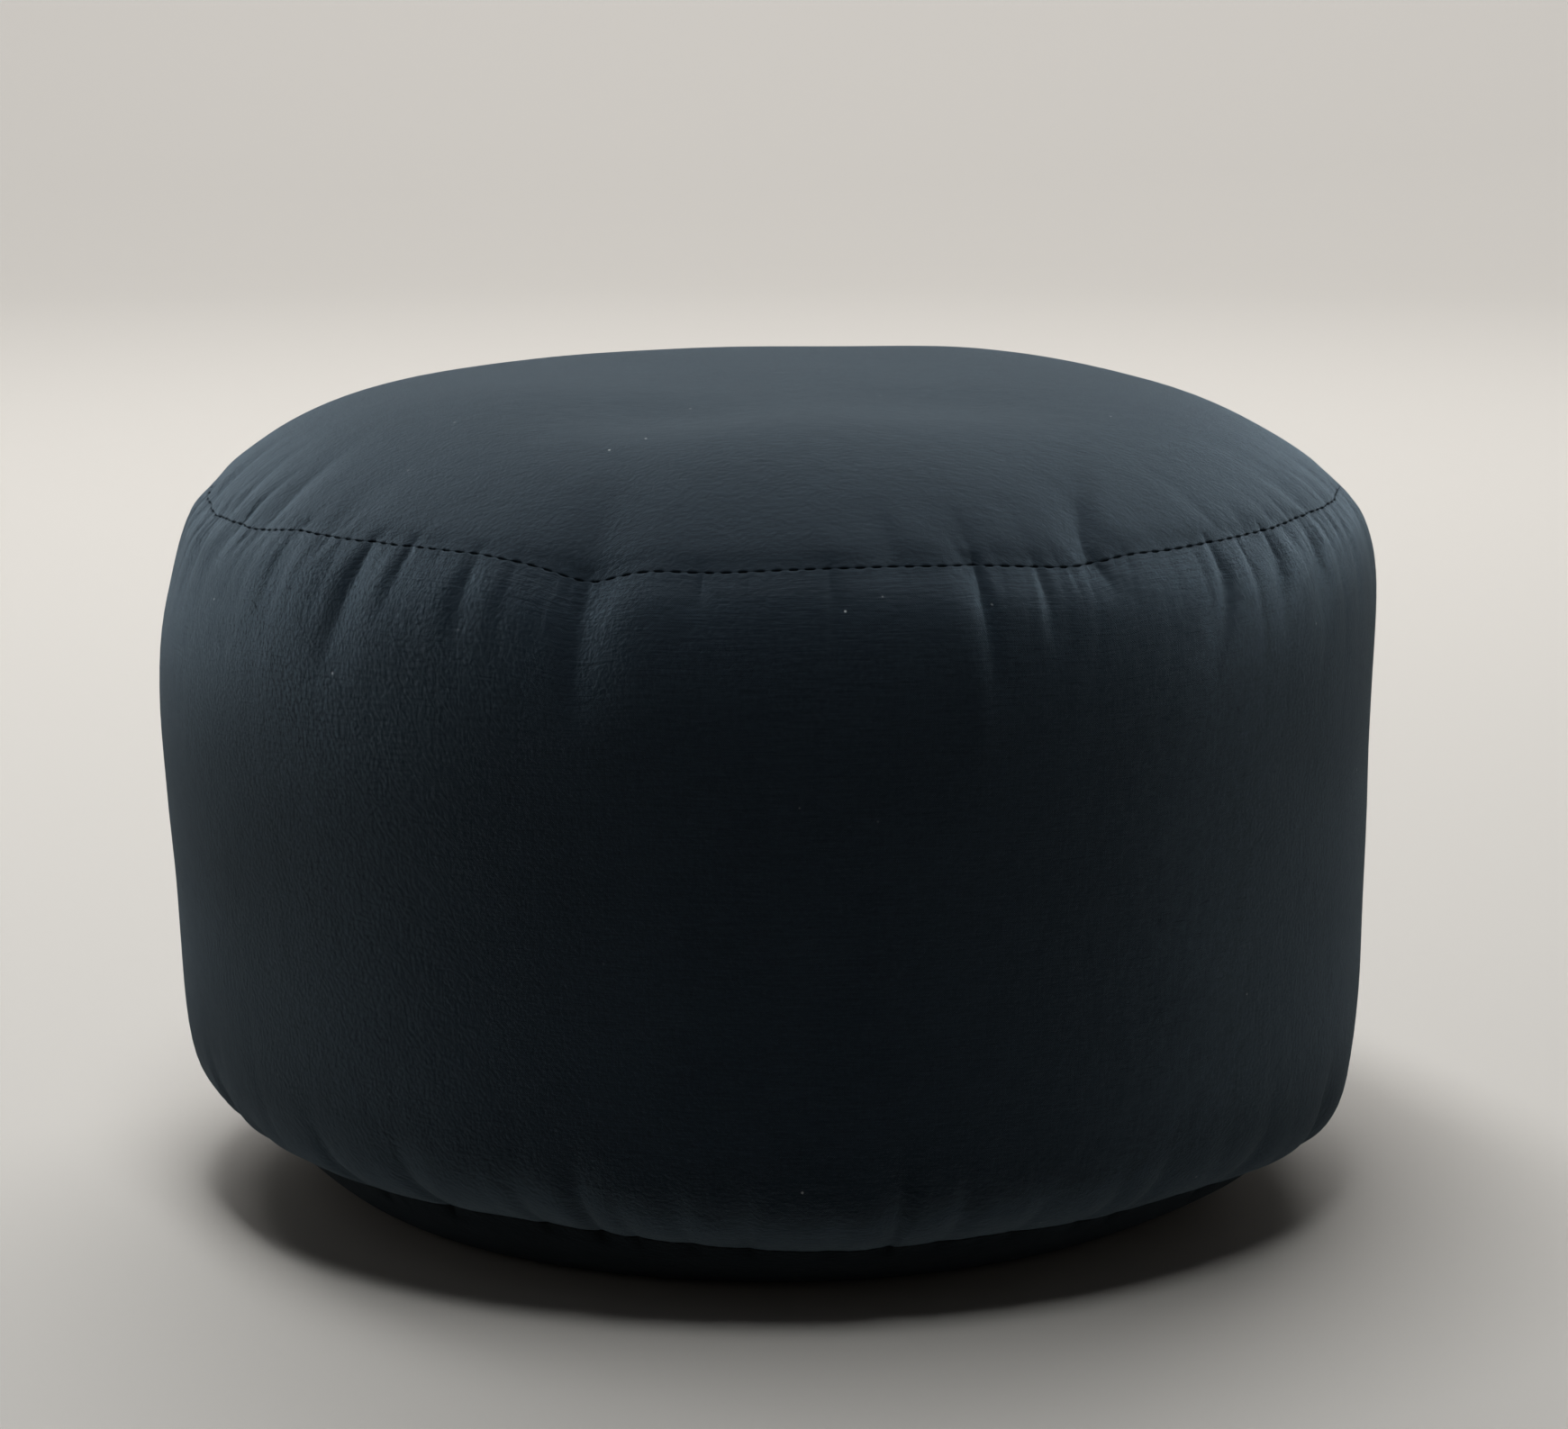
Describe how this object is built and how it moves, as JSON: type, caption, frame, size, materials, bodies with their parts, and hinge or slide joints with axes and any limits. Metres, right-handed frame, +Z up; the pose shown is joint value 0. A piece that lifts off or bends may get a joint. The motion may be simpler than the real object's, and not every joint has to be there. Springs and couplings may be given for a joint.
{
  "type": "zafu meditation cushion",
  "caption": "Round drum-shaped floor cushion to sit on: a domed top panel and a flat base panel, sewn to a tall side band that is puckered along both seams.",
  "frame": {"origin": "on the floor, under the middle of the cushion", "axes": "+Z up along the cushion's upright axis, -Y towards the side that faces the viewer of the picture, +X to that viewer's right"},
  "size_m": [0.3008, 0.3, 0.2004],
  "materials": {
    "side_band_cloth": "matte",
    "top_panel_cloth": "matte",
    "base_panel_cloth": "matte"
  },
  "bodies": {
    "root": {"side_band": "side_band_cloth", "top_panel": "top_panel_cloth", "base_panel": "base_panel_cloth"}
  },
  "joints": []
}
